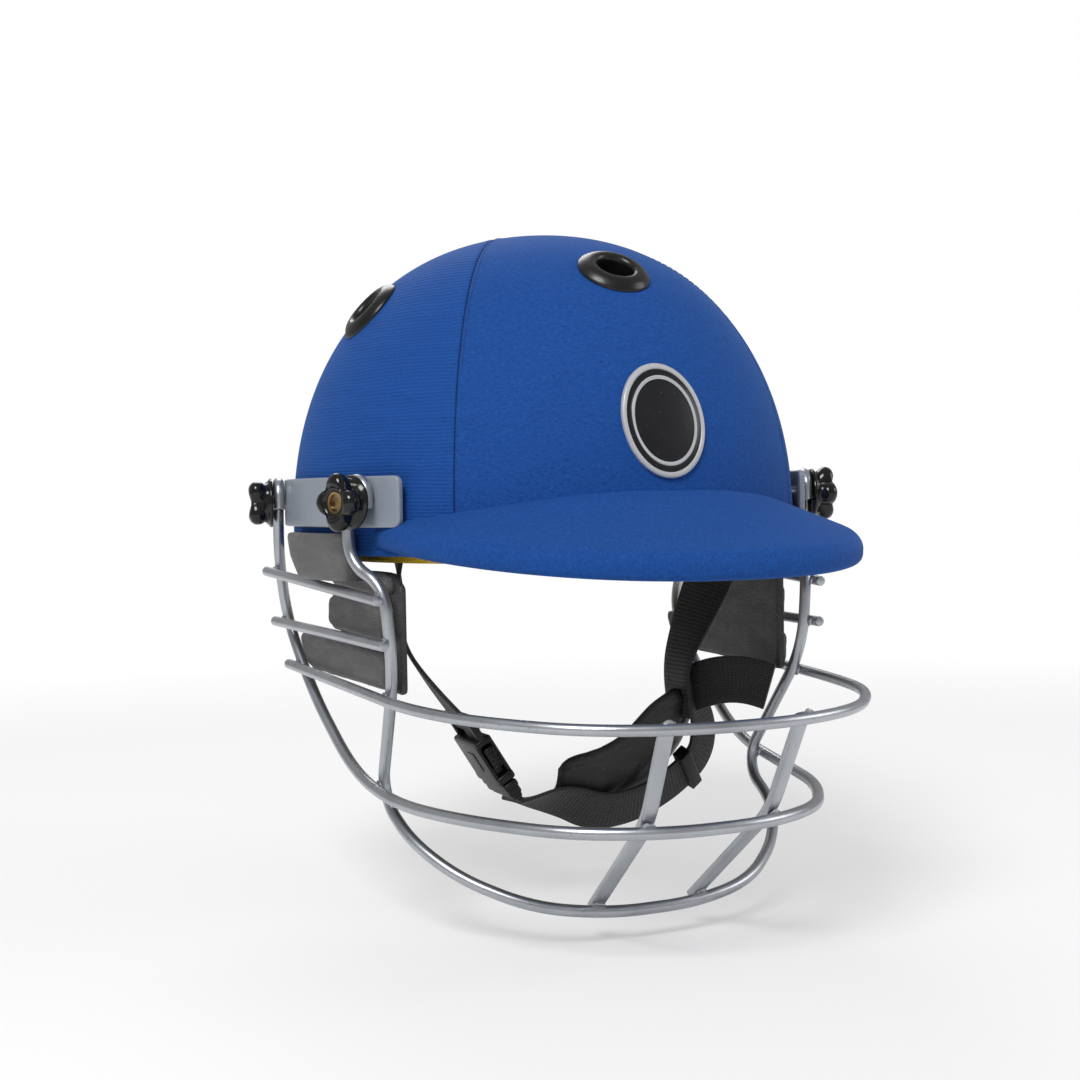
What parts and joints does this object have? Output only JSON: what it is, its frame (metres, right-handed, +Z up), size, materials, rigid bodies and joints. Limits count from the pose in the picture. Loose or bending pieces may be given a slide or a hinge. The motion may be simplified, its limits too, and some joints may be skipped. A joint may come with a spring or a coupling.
{
  "type": "cricket helmet",
  "caption": "Cloth-covered batting helmet with a short peak, a welded wire face grille held by hand knobs, ear pads and a buckled chin strap.",
  "frame": {"origin": "on the dome's middle axis in plan, at the height of the shell's lower edge, where a head fills the helmet", "axes": "+Z up, the wearer faces -Y, the wearer's left is +X"},
  "size_m": [0.2378, 0.2923, 0.2688],
  "materials": {
    "shell_plastic": "moulded, hidden under the cloth",
    "cloth": "knitted cloth, royal blue",
    "liner_foam": "closed-cell foam",
    "lining_fabric": "thin woven lining, yellow",
    "pad_fabric": "knitted cover over foam",
    "eyelet_plastic": "moulded, slightly glossy",
    "badge_plastic": "moulded badge",
    "plate_plastic": "moulded plate",
    "bolt_steel": "zinc plated",
    "wire_steel": "powder coated wire",
    "ear_plastic": "grained skin over foam",
    "knob_plastic": "moulded knob",
    "insert_brass": "turned insert",
    "webbing": "woven webbing",
    "cup_fabric": "soft padded cup",
    "buckle_plastic": "moulded buckle"
  },
  "bodies": {
    "helmet": {"shell": "shell_plastic", "cover_front": "cloth", "cover_rear": "cloth", "cover_hem": "cloth", "cover_peak": "cloth", "liner": "liner_foam", "lining": "lining_fabric", "pad_brow": "pad_fabric", "pad_nape": "pad_fabric", "pad_crown": "pad_fabric", "eyelet_front": "eyelet_plastic", "eyelet_rear": "eyelet_plastic", "eyelet_left": "eyelet_plastic", "eyelet_right": "eyelet_plastic", "badge": "badge_plastic", "plate_left": "plate_plastic", "plate_right": "plate_plastic", "bolts": "bolt_steel", "rivets": "bolt_steel"},
    "grille": {"wire_front": "wire_steel", "wire_rear": "wire_steel", "bar_upper": "wire_steel", "rod_high_left": "wire_steel", "rod_high_right": "wire_steel", "rod_low_left": "wire_steel", "rod_low_right": "wire_steel", "strut_left": "wire_steel", "strut_right": "wire_steel", "ear_backing_left": "ear_plastic", "ear_backing_right": "ear_plastic", "ear_upper_left": "ear_plastic", "ear_upper_right": "ear_plastic", "ear_middle_left": "ear_plastic", "ear_middle_right": "ear_plastic", "ear_lower_left": "ear_plastic", "ear_lower_right": "ear_plastic"},
    "chin_strap": {"strap_right": "webbing", "strap_left": "webbing", "strap_tail": "webbing", "chin_webbing": "webbing", "chin_cup": "cup_fabric", "buckle_socket": "buckle_plastic", "buckle_tongue": "buckle_plastic"},
    "keeper": {"keeper": "buckle_plastic"},
    "button_front": {"button_front": "buckle_plastic"},
    "button_rear": {"button_rear": "buckle_plastic"},
    "knob_front_left": {"knob_front_left": "knob_plastic", "insert_front_left": "insert_brass"},
    "knob_front_right": {"knob_front_right": "knob_plastic", "insert_front_right": "insert_brass"},
    "knob_rear_left": {"knob_rear_left": "knob_plastic", "insert_rear_left": "insert_brass"},
    "knob_rear_right": {"knob_rear_right": "knob_plastic", "insert_rear_right": "insert_brass"}
  },
  "joints": [
    {"name": "grille_slide", "type": "slide", "parent": "helmet", "child": "grille", "axis": [0, 0, 1], "range_m": [-0.0025, 0.0025]},
    {"name": "knob_front_left_turn", "type": "hinge", "parent": "helmet", "child": "knob_front_left", "pos_m": [0.10197, -0.05481, 0.01975], "axis": [0.9372, -0.3487, 0], "continuous": true},
    {"name": "knob_front_right_turn", "type": "hinge", "parent": "helmet", "child": "knob_front_right", "pos_m": [-0.10197, -0.05481, 0.01975], "axis": [-0.9372, -0.3487, 0], "continuous": true},
    {"name": "knob_rear_left_turn", "type": "hinge", "parent": "helmet", "child": "knob_rear_left", "pos_m": [0.10733, 0.03721, 0.01975], "axis": [0.9724, 0.2333, 0], "continuous": true},
    {"name": "knob_rear_right_turn", "type": "hinge", "parent": "helmet", "child": "knob_rear_right", "pos_m": [-0.10733, 0.03721, 0.01975], "axis": [-0.9724, 0.2333, 0], "continuous": true},
    {"name": "chin_strap_swing", "type": "hinge", "parent": "helmet", "child": "chin_strap", "pos_m": [0, -0.028, 0.012], "axis": [1, 0, 0], "range_deg": [-14, 14]},
    {"name": "keeper_slide", "type": "slide", "parent": "chin_strap", "child": "keeper", "axis": [0.7071, 0, 0.7071], "range_m": [-0.003, 0.003]},
    {"name": "button_front_press", "type": "slide", "parent": "chin_strap", "child": "button_front", "axis": [0, 1, 0], "range_m": [0, 0.0012], "stiffness_N_per_m": 500, "springref_m": -0.0005},
    {"name": "button_rear_press", "type": "slide", "parent": "chin_strap", "child": "button_rear", "axis": [0, -1, 0], "range_m": [0, 0.0012], "stiffness_N_per_m": 500, "springref_m": -0.0005}
  ],
  "couplings": [
    {"joint": "button_rear_press", "follows": "button_front_press", "ratio": 1}
  ]
}
